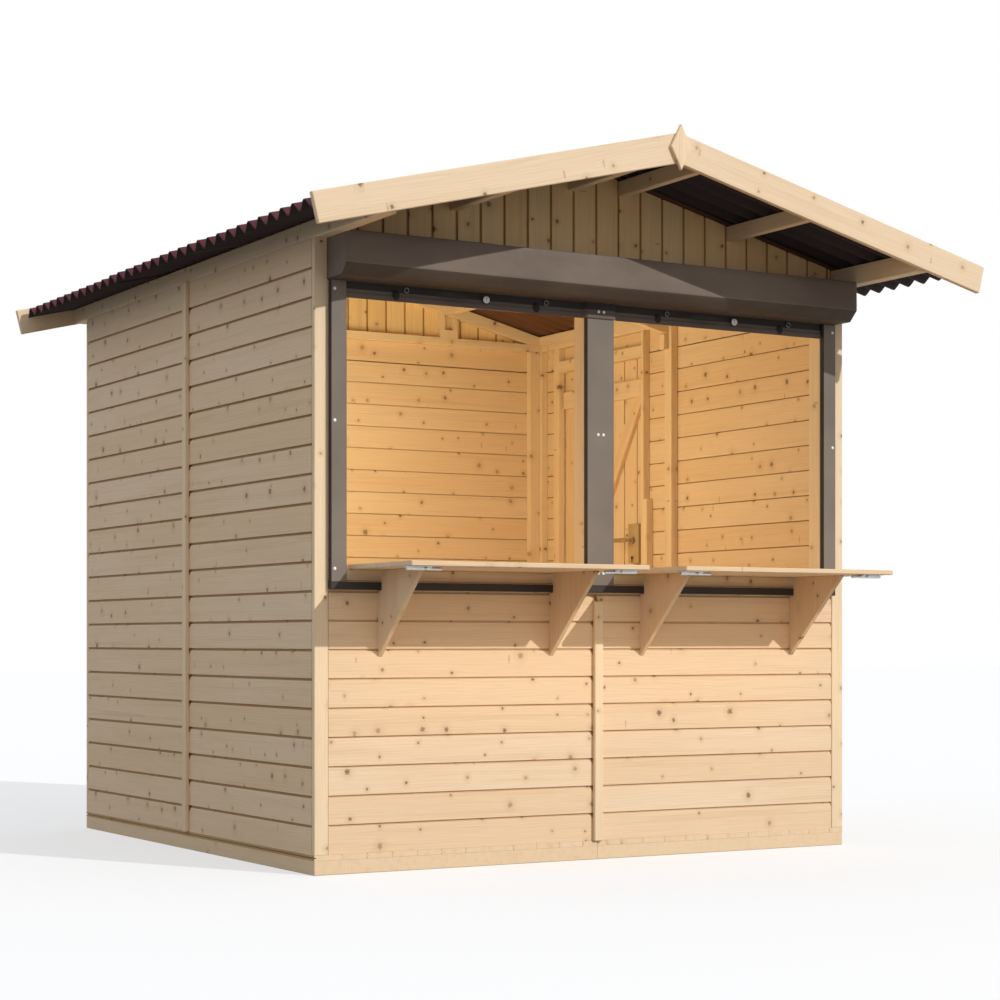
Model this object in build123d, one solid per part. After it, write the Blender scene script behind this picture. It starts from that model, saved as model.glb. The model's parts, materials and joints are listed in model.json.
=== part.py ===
"""Wooden market hut: plank walls, gabled roof, two serving openings with fixed counters."""
from build123d import *
from math import cos, pi, radians, sin, tan
import os

# Driving dimensions, in millimetres. Y runs from the serving front to the back.
hut_width = 2010.0
hut_depth = 1970.0

# Floor
joist_height = 44.0
joist_width = 45.0
joist_count = 6
floor_thickness = 16.0

# Plank walls: boards on battens
board_cover = 88.0
wall_courses = 21
board_thickness = 16.0
batten_width = 46.0
batten_depth = 30.0
trim_width = 46.0
trim_thickness = 18.0
board_recess = 2.0
cover_strip_proud = 14.0
cover_strip_width = 32.0
cover_strip_gap = 28.0

# Serving front
front_frame_depth = 60.0
low_wall_top = 883.0
sill_rail_height = 34.0
side_post_width = 53.0
middle_post_width = 102.0
header_bottom = 1745.0
frame_strip_width = 52.0
frame_strip_thickness = 20.0
frame_strip_bottom = 879.0
sill_strip_height = 27.0

# Curtain rolled up in its hood
hood_depth = 130.0
hood_top = 1917.0
hood_fold = 1818.0
hood_bottom = 1783.0
hood_underside_depth = 95.0
band_height = 49.0
band_thickness = 10.0
button_radius = 11.0
button_length = 8.0
button_offset = 477.0
button_shift = 56.0
button_drop = 20.0
band_end_gap = 1.0

# Counters
counter_end_gap = 16.5
counter_overhang = 400.0
counter_thickness = 15.0
bracket_spread = 305.0
bracket_thickness = 15.0
bracket_reach = 269.0
bracket_drop = 264.0
bracket_nose = 5.0
strip_clearance = 1.0
bolt_plate_length = 83.0
bolt_plate_width = 38.0
bolt_plate_thickness = 2.0
bolt_rod_radius = 5.0
bolt_barrel_width = 18.0
bolt_tail = 33.0
bolt_edge_gap = 18.0
bolt_left_gap = 2.0
bolt_right_gap = 26.0

# Roof
roof_pitch = 13.85
eave_beam_height = 53.0
purlin_width = 28.0
purlin_height = 50.0
gable_rail_height = 30.0
chair_recess = 38.0
chair_cheek = 22.0
chair_base = 34.0
ridge_purlin_offset = 84.0
middle_purlin_offset = 514.0
front_overhang = 440.0
rear_overhang = 128.0
side_overhang = 180.0
barge_thickness = 18.0
barge_width = 90.0
barge_cover = 36.0
barge_reach = 1232.0
ridge_plate_height = 142.0
ridge_plate_width = 74.0
ridge_plate_thickness = 12.0
sheet_waves = 33
wave_height = 28.0
sheet_thickness = 3.0
wave_steps = 8
ridge_gap = 12.0
cap_wing = 150.0
cap_thickness = 4.0

# Door in the right-hand wall, hung at the back and opening outwards
door_to_back = 198.0
door_clear_width = 602.0
over_door_height = 101.0
door_lap = 10.0
door_gap = 5.0
jamb_front_width = 18.0
jamb_rear_width = 40.0
leaf_thickness = 16.0
ledge_thickness = 18.0
ledge_height = 70.0
ledge_gap = 8.0
top_ledge_margin = 81.0
middle_ledge_level = 685.0
bottom_ledge_margin = 90.0
brace_width = 70.0
strap_length = 300.0
strap_height = 34.0
strap_thickness = 3.0
knuckle_radius = 7.0
knuckle_length = 36.0
pin_radius = 4.0
pin_clearance = 0.05
hinge_plate_width = 42.0
hinge_running_gap = 1.0
hinge_standoff = 1.0
strike_width = 24.0
strike_top = 1253.0
strike_height = 320.0
lock_width = 72.0
lock_below_handle = 90.0
lock_above_handle = 65.0
lock_clearance = 1.0
lock_depth = 33.0
handle_height = 1095.0
handle_backset = 65.0
lever_length = 120.0
lever_radius = 9.0
lever_standoff = 38.0
spindle_radius = 7.0
spindle_clearance = 0.3
rose_radius = 22.0
rose_thickness = 6.0

# Levels and places that follow from them
floor_bottom = joist_height
floor_top = joist_height + floor_thickness
wall_top = floor_top + wall_courses * board_cover
half_width = hut_width / 2
wall_thickness = board_thickness + batten_depth
roof_length = front_overhang + hut_depth + rear_overhang
total_length = roof_length + 2 * (barge_thickness + ridge_plate_thickness)
roof_front = -total_length / 2 + ridge_plate_thickness + barge_thickness
roof_back = roof_front + roof_length
front_face = roof_front + front_overhang
back_face = front_face + hut_depth
slope = radians(roof_pitch)
seat_at_wall = wall_top + eave_beam_height
seat_at_ridge = seat_at_wall + half_width * tan(slope)
barge_peak = seat_at_ridge + barge_cover
opening_width = half_width - trim_width - side_post_width - middle_post_width / 2
opening_centre = (middle_post_width + opening_width) / 2
counter_length = opening_width - 2 * counter_end_gap
doorway_top = wall_top - over_door_height
doorway_low = back_face - door_to_back - door_clear_width
doorway_high = back_face - door_to_back
front_boards_face = front_face + board_recess
back_boards_face = back_face - board_recess

nodes = {}


def block(x_range, y_range, z_range):
    """A box between two limits along each axis."""
    low = [min(pair) for pair in (x_range, y_range, z_range)]
    high = [max(pair) for pair in (x_range, y_range, z_range)]
    size = [b - a for a, b in zip(low, high)]
    return Pos(*low) * Box(*size, align=(Align.MIN, Align.MIN, Align.MIN))


def across(points, y_start, y_end):
    """An outline in X and Z, made solid between two places along Y."""
    wire = Polyline([(x, y_start, z) for x, z in points], close=True)
    return extrude(make_face(wire), amount=abs(y_end - y_start), dir=(0, 1, 0))


def along(points, x_start, x_end):
    """An outline in Y and Z, made solid between two places along X."""
    wire = Polyline([(x_start, y, z) for y, z in points], close=True)
    return extrude(make_face(wire), amount=abs(x_end - x_start), dir=(1, 0, 0))


def rod(radius, start, end, axis):
    """A round bar along one axis, from one point for a given length."""
    planes = {"x": Plane(start, z_dir=(1, 0, 0)), "z": Plane(start, z_dir=(0, 0, 1))}
    return extrude(planes[axis] * Circle(radius), amount=end)


def both_sides(piece):
    """A piece on the right and its mirror image on the left."""
    return [piece, mirror(piece, about=Plane.YZ)]


def add(name, *solids):
    """Keeps one or more separate solids as a node."""
    nodes[name] = list(solids)


def seat(x):
    """Height of the roof sheets' underside at a distance from the ridge line."""
    return seat_at_ridge - abs(x) * tan(slope)


def make_floor():
    for side, name in ((-1, "left"), (1, "right")):
        inner, outer = 0.0, side * half_width
        rim = block((inner, outer), (front_face, back_face), (0, joist_height))
        clear = hut_depth - (joist_count + 2) * joist_width
        bay = clear / (joist_count + 1)
        for k in range(joist_count + 1):
            y = front_face + joist_width + k * (bay + joist_width)
            x_range = (inner + side * joist_width, outer - side * joist_width)
            rim -= block(x_range, (y, y + bay), (0, joist_height))
        add(f"floor_frame_{name}", rim)
    add("floor_boards", block((-half_width, half_width), (front_face, back_face), (floor_bottom, floor_top)))


def make_side_walls():
    skin = (half_width - board_thickness, half_width)
    middle = front_face + hut_depth / 2
    low, high = front_face + trim_thickness, back_face - trim_thickness
    levels = (floor_top, wall_top)
    left = (-half_width, -half_width + board_thickness)
    add("left_wall_front_panel", block(left, (low, middle), levels))
    add("left_wall_rear_panel", block(left, (middle, high), levels))
    add("right_wall_front_panel", block(skin, (low, middle), levels))
    door_low = doorway_low - door_lap - door_gap
    door_high = doorway_high + door_lap + door_gap
    door_top = doorway_top + door_lap + door_gap
    add("right_wall_beside_door", block(skin, (middle, door_low), levels))
    add("right_wall_over_door", block(skin, (door_low, door_high), (door_top, wall_top)))
    add("right_wall_rear_strip", block(skin, (door_high, high), levels))

    inner = (half_width - wall_thickness, half_width - board_thickness)
    studs = []
    for y in (low, middle - batten_width / 2, high - batten_width):
        studs.append(block(inner, (y, y + batten_width), levels))
    add("right_wall_studs", *studs)
    add("left_wall_studs", *[mirror(stud, about=Plane.YZ) for stud in studs])


def make_door_frame():
    inner = (half_width - wall_thickness, half_width - board_thickness)
    low, high = doorway_low, doorway_high
    head = doorway_top
    front_jamb = block(inner, (low - jamb_front_width, low), (floor_top, wall_top))
    rear_jamb = block(inner, (high, high + jamb_rear_width), (floor_top, wall_top))
    strike_y = (low - jamb_front_width - strike_width, low - jamb_front_width)
    front_jamb += block(inner, strike_y, (strike_top - strike_height, strike_top))
    add("door_jambs", front_jamb, rear_jamb)
    add("door_head", block(inner, (low, high), (head, head + batten_width)))


def make_back_wall():
    y_range = (back_boards_face, back_boards_face - board_thickness)
    edge = half_width - trim_width
    add("back_wall_left_panel", block((-edge, 0), y_range, (floor_top, wall_top)))
    add("back_wall_right_panel", block((0, edge), y_range, (floor_top, wall_top)))
    stud_y = (y_range[1] - batten_depth, y_range[1])
    inside = half_width - wall_thickness
    studs = both_sides(block((inside - batten_width, inside), stud_y, (floor_top, wall_top)))
    studs.append(block((-batten_width / 2, batten_width / 2), stud_y, (floor_top, wall_top)))
    add("back_wall_studs", *studs)


def make_front_wall():
    boards_y = (front_boards_face, front_boards_face + board_thickness)
    frame_y = (boards_y[1], front_face + front_frame_depth)
    edge = half_width - trim_width
    add("front_wall_left_panel", block((-edge, 0), boards_y, (floor_top, low_wall_top)))
    add("front_wall_right_panel", block((0, edge), boards_y, (floor_top, low_wall_top)))
    studs = both_sides(block((edge - batten_width, edge), frame_y, (floor_top, low_wall_top)))
    studs.append(block((-middle_post_width / 2, middle_post_width / 2), frame_y, (floor_top, low_wall_top)))
    add("front_low_wall_studs", *studs)

    full_y = (front_face, front_face + front_frame_depth)
    rail_top = low_wall_top + sill_rail_height
    add("front_sill_rail", block((-edge, edge), full_y, (low_wall_top, rail_top)))
    posts = both_sides(block((edge - side_post_width, edge), full_y, (rail_top, header_bottom)))
    posts.append(block((-middle_post_width / 2, middle_post_width / 2), full_y, (rail_top, header_bottom)))
    add("front_posts", *posts)
    add("front_header", block((-edge, edge), full_y, (header_bottom, wall_top)))


def make_gables():
    edge = half_width - trim_width
    outline = [(-edge, wall_top), (edge, wall_top), (edge, seat(edge)), (0, seat_at_ridge),
               (-edge, seat(edge))]
    for name, y in (("front_gable", front_face), ("back_gable", back_face - board_thickness)):
        gable = across(outline, y, y + board_thickness)
        for notch in purlin_notches(y, y + board_thickness):
            gable -= notch
        add(name, gable)

    battens = []
    rail_top = wall_top + gable_rail_height
    drop = batten_width / cos(slope)
    low_ends = seat(edge) - drop
    rake = [(-edge, low_ends), (0, seat_at_ridge - drop), (edge, low_ends), (edge, seat(edge)),
            (0, seat_at_ridge), (-edge, seat(edge))]
    front_inner = front_face + board_thickness
    back_inner = back_face - board_thickness - batten_depth
    for y in (front_inner, back_inner):
        rail = block((-edge, edge), (y, y + batten_depth), (wall_top, rail_top))
        slopes = across(rake, y, y + batten_depth) - rail
        for notch in purlin_notches(y, y + batten_depth):
            slopes -= notch
        battens += [rail, *slopes.solids()]
    add("gable_battens", *battens)

    middle = middle_purlin_offset + purlin_width / 2
    half = chair_recess / 2
    outer = half + chair_cheek
    outline = [(middle - outer, rail_top), (middle + outer, rail_top),
               (middle + outer, seat(middle + outer) - drop), (middle + half, seat(middle + half) - drop),
               (middle + half, rail_top + chair_base), (middle - half, rail_top + chair_base),
               (middle - half, seat(middle - half) - drop), (middle - outer, seat(middle - outer) - drop)]
    chairs = []
    for y in (front_inner, back_inner):
        chairs += both_sides(across(outline, y, y + batten_depth))
    add("purlin_chairs", *chairs)


def purlin_notches(y_start, y_end):
    notches = []
    for offset in (ridge_purlin_offset, middle_purlin_offset):
        notches += both_sides(purlin(offset, y_start, y_end))
    return notches


def purlin(offset, y_start, y_end):
    low = seat(offset) - purlin_height
    outer = offset + purlin_width
    return across([(offset, low), (outer, low), (outer, seat(outer)), (offset, seat(offset))], y_start, y_end)


def make_roof_timbers():
    inner = half_width - trim_width
    outline = [(inner, wall_top), (half_width, wall_top),
               (half_width, seat(half_width)), (inner, seat(inner))]
    beam = across(outline, roof_front, roof_back)
    add("eave_beams", *both_sides(beam))
    purlins = both_sides(purlin(middle_purlin_offset, roof_front, roof_back))
    purlins += both_sides(purlin(ridge_purlin_offset, roof_front, roof_back))
    add("roof_purlins", *purlins)


def make_bargeboards():
    end_top = barge_peak - barge_reach * tan(slope)
    drop = barge_width / cos(slope)
    shift = barge_width * sin(slope)
    fall = barge_width * cos(slope)
    outline = [(0, barge_peak), (barge_reach, end_top), (barge_reach - shift, end_top - fall),
               (0, barge_peak - drop)]
    for end, y in (("front", roof_front - barge_thickness), ("rear", roof_back)):
        right = across(outline, y, y + barge_thickness)
        add(f"{end}_bargeboard_right", right)
        add(f"{end}_bargeboard_left", mirror(right, about=Plane.YZ))

    middle = barge_peak - drop / 2
    top, bottom = middle + ridge_plate_height / 2, middle - ridge_plate_height / 2
    half = ridge_plate_width / 2
    diamond = [(0, top), (half, middle), (0, bottom), (-half, middle)]
    front_y = roof_front - barge_thickness - ridge_plate_thickness
    rear_y = roof_back + barge_thickness
    plates = [across(diamond, y, y + ridge_plate_thickness) for y in (front_y, rear_y)]
    add("ridge_plates", *plates)


def make_roof_sheets():
    pitch = roof_length / sheet_waves
    steps = sheet_waves * wave_steps
    lower = []
    for k in range(steps + 1):
        rise = wave_height / 2 * (1 - cos(2 * pi * k / wave_steps))
        lower.append((roof_front + k * pitch / wave_steps, rise))
    upper = [(y, z + sheet_thickness) for y, z in reversed(lower)]
    length = (half_width + side_overhang) / cos(slope) - ridge_gap
    flat = along(lower + upper, ridge_gap, ridge_gap + length)
    right = Pos(0, 0, seat_at_ridge) * Rot(0, roof_pitch, 0) * flat
    add("roof_sheet_right", right)
    add("roof_sheet_left", mirror(right, about=Plane.YZ))

    rest = seat_at_ridge + (wave_height + sheet_thickness) / cos(slope)
    run = cap_wing * cos(slope)
    fall = cap_wing * sin(slope)
    rise = cap_thickness / cos(slope)
    under = [(-run, rest - fall), (0, rest), (run, rest - fall)]
    over = [(x, z + rise) for x, z in reversed(under)]
    add("ridge_cap", across(under + over, roof_front, roof_back))


def make_trims():
    front_y = (front_face, front_face + trim_thickness)
    back_y = (back_face - trim_thickness, back_face)
    x_range = (half_width - trim_width, half_width)
    corners = []
    for y_range in (front_y, back_y):
        corners += both_sides(block(x_range, y_range, (floor_top, wall_top)))
    add("corner_trims", *corners)

    half = cover_strip_width / 2
    middle = front_face + hut_depth / 2
    side_x = (half_width, half_width + cover_strip_proud)
    side = block(side_x, (middle - half, middle + half), (floor_top, wall_top))
    front_top = low_wall_top - sill_strip_height - cover_strip_gap
    front_strip_y = (front_boards_face - cover_strip_proud, front_boards_face)
    front = block((-half, half), front_strip_y, (floor_top, front_top))
    back_strip_y = (back_boards_face, back_boards_face + cover_strip_proud)
    back = block((-half, half), back_strip_y, (floor_top, wall_top))
    add("joint_cover_strips", *both_sides(side), front, back)


def make_frame_strips():
    y_range = (front_face - frame_strip_thickness, front_face)
    edge = half_width - trim_width
    levels = (frame_strip_bottom, hood_bottom)
    side = block((edge - frame_strip_width, edge), y_range, levels)
    half = middle_post_width / 2
    middle = block((-half, half), y_range, levels)
    add("front_frame_strips", *both_sides(side), middle)
    sill = block((-edge, edge), y_range, (low_wall_top - sill_strip_height, frame_strip_bottom))
    add("front_sill_strip", sill)


def make_curtain():
    edge = half_width - trim_width
    y = front_face
    outline = [(y, hood_top), (y - hood_depth, hood_top), (y - hood_depth, hood_fold),
               (y - hood_underside_depth, hood_bottom), (y, hood_bottom)]
    add("curtain_hood", along(outline, -edge, edge))
    band_x = (middle_post_width / 2 + band_end_gap, edge - frame_strip_width - band_end_gap)
    band = block(band_x, (y - band_thickness, y), (hood_bottom - band_height, hood_bottom))
    add("curtain_band", *both_sides(band))
    buttons = []
    for x in (button_shift - button_offset, button_shift + button_offset):
        start = (x, y - band_thickness - button_length, hood_bottom - button_drop)
        plane = Plane(start, z_dir=(0, 1, 0))
        buttons.append(extrude(plane * Circle(button_radius), amount=button_length))
    add("curtain_buttons", *buttons)


def counter_places():
    return (("left", -opening_centre), ("right", opening_centre))


def make_counters():
    bottom = low_wall_top + sill_rail_height
    for name, x in counter_places():
        x_range = (x - counter_length / 2, x + counter_length / 2)
        y_range = (front_face - counter_overhang, front_face + front_frame_depth)
        add(f"{name}_counter", block(x_range, y_range, (bottom, bottom + counter_thickness)))

    front = front_face - bracket_reach
    foot = front_boards_face
    notch = front_face - frame_strip_thickness - strip_clearance
    strip_low = low_wall_top - sill_strip_height - strip_clearance
    outline = [(foot, bottom - bracket_drop), (front, bottom - bracket_nose), (front, bottom),
               (notch, bottom), (notch, strip_low), (foot, strip_low)]
    brackets = []
    for name, x in counter_places():
        for offset in (-bracket_spread, bracket_spread):
            left = x + offset - bracket_thickness / 2
            brackets.append(along(outline, left, left + bracket_thickness))
    add("counter_brackets", *brackets)

    bolts = []
    for name, x in counter_places():
        for side in (-1, 1):
            bolts.append(bolt(x, side, bottom))
    add("counter_bolts", *bolts)


def bolt(counter_x, side, top):
    """A barrel bolt under a counter's front corner, drawn back so that its rod shows behind the plate."""
    gap = bolt_left_gap if side < 0 else bolt_right_gap
    end = counter_x + side * (counter_length / 2 - gap)
    start = end - side * bolt_plate_length
    y_low = front_face - counter_overhang + bolt_edge_gap
    plate = block((start, end), (y_low, y_low + bolt_plate_width), (top - bolt_plate_thickness, top))
    centre = (min(end, start - side * bolt_tail), y_low + bolt_plate_width / 2,
              top - bolt_plate_thickness - bolt_rod_radius)
    barrel_y = (centre[1] - bolt_barrel_width / 2, centre[1] + bolt_barrel_width / 2)
    barrel = block((start, end), barrel_y, (centre[2], top - bolt_plate_thickness))
    bar = rod(bolt_rod_radius, centre, bolt_plate_length + bolt_tail, "x")
    return plate + barrel + bar


def door_limits():
    return doorway_low - door_lap, doorway_high + door_lap


def leaf_faces():
    inner = half_width - board_thickness + door_gap
    return inner, inner + leaf_thickness


def handle_place():
    low, high = door_limits()
    return low + handle_backset, handle_height


def ledge_levels():
    """Undersides of the door's three ledges."""
    top = doorway_top - top_ledge_margin - ledge_height
    return floor_top + bottom_ledge_margin, floor_top + middle_ledge_level, top


def make_door():
    low, high = door_limits()
    inner, outer = leaf_faces()
    top = doorway_top + door_lap
    bottom = floor_top + door_gap
    leaf = block((inner, outer), (low, high), (bottom, top))
    y, z = handle_place()
    depth = leaf_thickness + lock_depth
    hole = rod(spindle_radius + spindle_clearance, (inner - lock_depth, y, z), depth, "x")
    add("door_leaf", leaf - hole)

    ledge_x = (inner - ledge_thickness, inner)
    ledge_y = (low + door_lap + ledge_gap, high - door_lap - ledge_gap)
    bottoms = ledge_levels()
    add("door_ledges", *[block(ledge_x, ledge_y, (level, level + ledge_height)) for level in bottoms])

    braces = []
    for lower, upper in ((bottoms[0], bottoms[1]), (bottoms[1], bottoms[2])):
        z_low, z_high = lower + ledge_height, upper
        foot, head = ledge_y[1], ledge_y[0]
        outline = [(foot - brace_width, z_low), (foot, z_low), (head + brace_width, z_high), (head, z_high)]
        braces.append(along(outline, ledge_x[0], ledge_x[1]))
    lock_y = (y - lock_width / 2, y + lock_width / 2)
    lock_z = (z - lock_below_handle, z + lock_above_handle)
    lock = block((inner - lock_depth, inner), lock_y, lock_z)
    lock_space = block((inner - lock_depth, inner), (lock_y[0] - lock_clearance, lock_y[1] + lock_clearance),
                       (lock_z[0] - lock_clearance, lock_z[1] + lock_clearance))
    add("door_braces", *[brace - lock_space for brace in braces])
    add("door_lock", lock - hole)


def make_door_handle():
    inner, outer = leaf_faces()
    y, z = handle_place()
    start = inner - lock_depth - lever_standoff
    span = leaf_thickness + lock_depth + 2 * lever_standoff
    handle = rod(spindle_radius, (start, y, z), span, "x")
    for x in (start, start + span):
        bar = extrude(Plane((x, y - lever_radius, z), z_dir=(0, 1, 0)) * Circle(lever_radius),
                      amount=lever_length + lever_radius)
        handle += bar
    add("door_handle", handle)


def make_hinges():
    low, high = door_limits()
    inner, outer = leaf_faces()
    pin_x = outer + knuckle_radius + hinge_standoff
    pin_y = high + door_gap / 2
    half = knuckle_length / 2
    reach = half + hinge_running_gap + knuckle_length
    straps, plates = [], []
    low_ledge, middle_ledge, top_ledge = ledge_levels()
    for level in (low_ledge, top_ledge):
        z = level + ledge_height / 2
        strap_y = (pin_y - strap_length, pin_y)
        strap = block((outer, outer + strap_thickness), strap_y, (z - strap_height / 2, z + strap_height / 2))
        strap += rod(knuckle_radius, (pin_x, pin_y, z - half), knuckle_length, "z")
        strap -= rod(pin_radius + pin_clearance, (pin_x, pin_y, z - half), knuckle_length, "z")
        straps.append(strap)
        plate_y = pin_y + knuckle_radius + hinge_running_gap
        plate = block((half_width, half_width + strap_thickness), (plate_y, plate_y + hinge_plate_width),
                      (z - reach, z + reach))
        plate += rod(pin_radius, (pin_x, pin_y, z - reach), 2 * reach, "z")
        for start in (z - reach, z + half + hinge_running_gap):
            plate += rod(knuckle_radius, (pin_x, pin_y, start), knuckle_length, "z")
            plate += block((half_width, pin_x), (pin_y + pin_radius, plate_y + strap_thickness),
                           (start, start + knuckle_length))
        plates.append(plate)
    add("door_hinge_straps", *straps)
    add("door_hinge_plates", *plates)


make_floor()
make_side_walls()
make_door_frame()
make_back_wall()
make_front_wall()
make_gables()
make_roof_timbers()
make_bargeboards()
make_roof_sheets()
make_trims()
make_frame_strips()
make_curtain()
make_counters()
make_door()
make_door_handle()
make_hinges()

os.makedirs("parts", exist_ok=True)
for name, solids in nodes.items():
    shape = solids[0] if len(solids) == 1 else Compound(children=solids)
    export_step(shape, f"parts/{name}.step")
print(len(nodes), "nodes; front face at", front_face, "peak", barge_peak)
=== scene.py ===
import json
import math
import random

import bmesh
import bpy
from mathutils import Matrix, Vector, noise


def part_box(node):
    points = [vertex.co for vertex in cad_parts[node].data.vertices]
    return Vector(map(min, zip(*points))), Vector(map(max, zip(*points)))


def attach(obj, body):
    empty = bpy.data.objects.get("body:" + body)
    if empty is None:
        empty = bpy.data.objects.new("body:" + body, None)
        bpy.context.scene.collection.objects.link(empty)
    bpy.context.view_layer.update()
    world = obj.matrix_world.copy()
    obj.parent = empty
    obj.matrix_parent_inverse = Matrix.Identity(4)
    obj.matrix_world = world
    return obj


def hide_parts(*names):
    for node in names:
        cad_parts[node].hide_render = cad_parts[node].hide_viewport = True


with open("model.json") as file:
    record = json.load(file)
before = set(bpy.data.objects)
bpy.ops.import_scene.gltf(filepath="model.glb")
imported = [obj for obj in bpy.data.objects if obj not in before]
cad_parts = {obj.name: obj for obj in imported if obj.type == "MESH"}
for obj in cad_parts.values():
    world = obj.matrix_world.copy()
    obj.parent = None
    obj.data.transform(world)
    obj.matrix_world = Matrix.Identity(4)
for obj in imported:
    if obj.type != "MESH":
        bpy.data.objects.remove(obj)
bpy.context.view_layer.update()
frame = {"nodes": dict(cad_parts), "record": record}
scene = bpy.context.scene
draw = random.Random(23)

alongX = Vector((1, 0, 0))
alongY = Vector((0, 1, 0))
alongZ = Vector((0, 0, 1))


view = dict(place=(-3.8648, -6.7912, 0.7035), turn=-30.43, lens=79.51, lift=0.1403)
light = dict(sunWay=(-0.396, 0.793, -0.464), sun=2.2, sunColour=(1.0, 0.98, 0.95), sky=(0.62, 0.65, 0.69))
softLamps = dict(room=dict(kind="POINT", power=27.0, colour=(1.0, 0.93, 0.60), size=0.5, place=(-0.25, 0.22, 1.42),
                           aimAt=(0, 0, 0)),
                 front=dict(kind="AREA", power=7.0, colour=(1.0, 0.60, 0.26), size=2.0, place=(0.9, -4.6, 0.6),
                            aimAt=(0, -0.8, 1.6)),
                 underCounter=dict(kind="AREA", power=0.75, colour=(1.0, 0.72, 0.36), size=1.9, height=0.06,
                                   place=(0, -1.14, 0.58), aimAt=(0, -0.8, 0.69)))
ground = dict(reach=40.0, colour=(0.21, 0.205, 0.20), shown=0.50, glow=0.505)


def makeCamera():
    camera = bpy.data.objects.new("camera", bpy.data.cameras.new("camera"))
    scene.collection.objects.link(camera)
    camera.location = view["place"]
    camera.rotation_euler = (math.radians(90), 0, math.radians(view["turn"]))
    camera.data.lens = view["lens"]
    camera.data.shift_y = view["lift"]
    scene.camera = camera


def addNode(material, kind, inputs=None, **settings):
    node = material.node_tree.nodes.new(kind)
    for name, value in settings.items():
        setattr(node, name, value)
    for name, value in (inputs or {}).items():
        if isinstance(value, bpy.types.NodeSocket):
            material.node_tree.links.new(value, node.inputs[name])
        else:
            node.inputs[name].default_value = value
    return node


def seenRay(holder):
    # 1 for what the camera, a reflection or a see-through ray meets
    rays = addNode(holder, "ShaderNodeLightPath")
    either = addNode(holder, "ShaderNodeMath", {0: rays.outputs["Is Camera Ray"],
                                                1: rays.outputs["Is Glossy Ray"]}, operation="MAXIMUM")
    return addNode(holder, "ShaderNodeMath", {0: either.outputs[0],
                                              1: rays.outputs["Is Transmission Ray"]}, operation="MAXIMUM").outputs[0]


def makeWorld():
    world = bpy.data.worlds.new("sky")
    world.use_nodes = True
    scene.world = world
    backdrop = world.node_tree.nodes["Background"]
    mix = addNode(world, "ShaderNodeMix", {0: seenRay(world), 6: (*light["sky"], 1), 7: (1, 1, 1, 1)},
                  data_type="RGBA")
    world.node_tree.links.new(mix.outputs[2], backdrop.inputs["Color"])
    sun = bpy.data.objects.new("sun", bpy.data.lights.new("sun", "SUN"))
    scene.collection.objects.link(sun)
    sun.data.energy = light["sun"]
    sun.data.color = light["sunColour"]
    sun.data.angle = math.radians(0.6)
    sun.rotation_mode = "QUATERNION"
    sun.rotation_quaternion = Vector(light["sunWay"]).to_track_quat("-Z", "Y")
    for name, soft in softLamps.items():
        lamp = bpy.data.objects.new(f"{name}Lamp", bpy.data.lights.new(f"{name}Lamp", soft["kind"]))
        scene.collection.objects.link(lamp)
        lamp.data.energy = soft["power"]
        lamp.data.color = soft["colour"]
        if soft["kind"] == "POINT":
            lamp.data.shadow_soft_size = soft["size"]
        else:
            lamp.data.shape = "RECTANGLE"
            lamp.data.size = soft["size"]
            lamp.data.size_y = soft.get("height", soft["size"])
        way = Vector(soft["aimAt"]) - Vector(soft["place"])
        lamp.matrix_world = Matrix.Translation(soft["place"]) @ way.to_track_quat("-Z", "Y").to_matrix().to_4x4()
        lamp.visible_camera = False
        lamp.visible_glossy = False


def makeFloor():
    material = bpy.data.materials.new("paleFloor")
    material.use_nodes = True
    tree = material.node_tree
    tree.nodes.remove(tree.nodes["Principled BSDF"])
    plain = addNode(material, "ShaderNodeBsdfDiffuse", {"Color": (*ground["colour"], 1)})
    shown = addNode(material, "ShaderNodeBsdfDiffuse", {"Color": (*[ground["shown"]] * 3, 1)})
    glow = addNode(material, "ShaderNodeEmission", {"Strength": ground["glow"]})
    white = addNode(material, "ShaderNodeAddShader", {0: shown.outputs[0], 1: glow.outputs[0]})
    mix = addNode(material, "ShaderNodeMixShader", {0: seenRay(material), 1: plain.outputs[0],
                                                    2: white.outputs[0]})
    tree.links.new(mix.outputs[0], tree.nodes["Material Output"].inputs["Surface"])
    bm = bmesh.new()
    bmesh.ops.create_grid(bm, x_segments=2, y_segments=2, size=ground["reach"])
    mesh = bpy.data.meshes.new("paleFloor")
    bm.to_mesh(mesh)
    bm.free()
    mesh.materials.append(material)
    floor = bpy.data.objects.new("paleFloor", mesh)
    scene.collection.objects.link(floor)


def newFinish(name, colour, roughness, metallic=0.0, specular=0.4):
    material = bpy.data.materials.new(name)
    material.use_nodes = True
    shader = material.node_tree.nodes["Principled BSDF"]
    shader.inputs["Base Color"].default_value = (*colour, 1)
    shader.inputs["Roughness"].default_value = roughness
    shader.inputs["Metallic"].default_value = metallic
    shader.inputs["Specular IOR Level"].default_value = specular
    return material, shader


def stretchedNoise(material, vector, scale, detail=2.0, roughness=0.5):
    mapping = addNode(material, "ShaderNodeMapping", {"Vector": vector, "Scale": scale})
    return addNode(material, "ShaderNodeTexNoise", {"Vector": mapping.outputs[0], "Scale": 1.0,
                                                    "Detail": detail, "Roughness": roughness}).outputs[0]


def sums(material, operation, first, second=0.0, third=0.0):
    return addNode(material, "ShaderNodeMath", {0: first, 1: second, 2: third}, operation=operation).outputs[0]


def span(material, value, low, high, toLow=0.0, toHigh=1.0):
    return addNode(material, "ShaderNodeMapRange", {0: value, 1: low, 2: high, 3: toLow, 4: toHigh},
                   interpolation_type="SMOOTHSTEP").outputs[0]


def blend(material, factor, first, second, way="MIX"):
    colours = [value if isinstance(value, bpy.types.NodeSocket) else (*value, 1) for value in (first, second)]
    node = addNode(material, "ShaderNodeMix", {0: factor, 6: colours[0], 7: colours[1]}, data_type="RGBA")
    node.blend_type = way
    return node.outputs[2]


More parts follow.
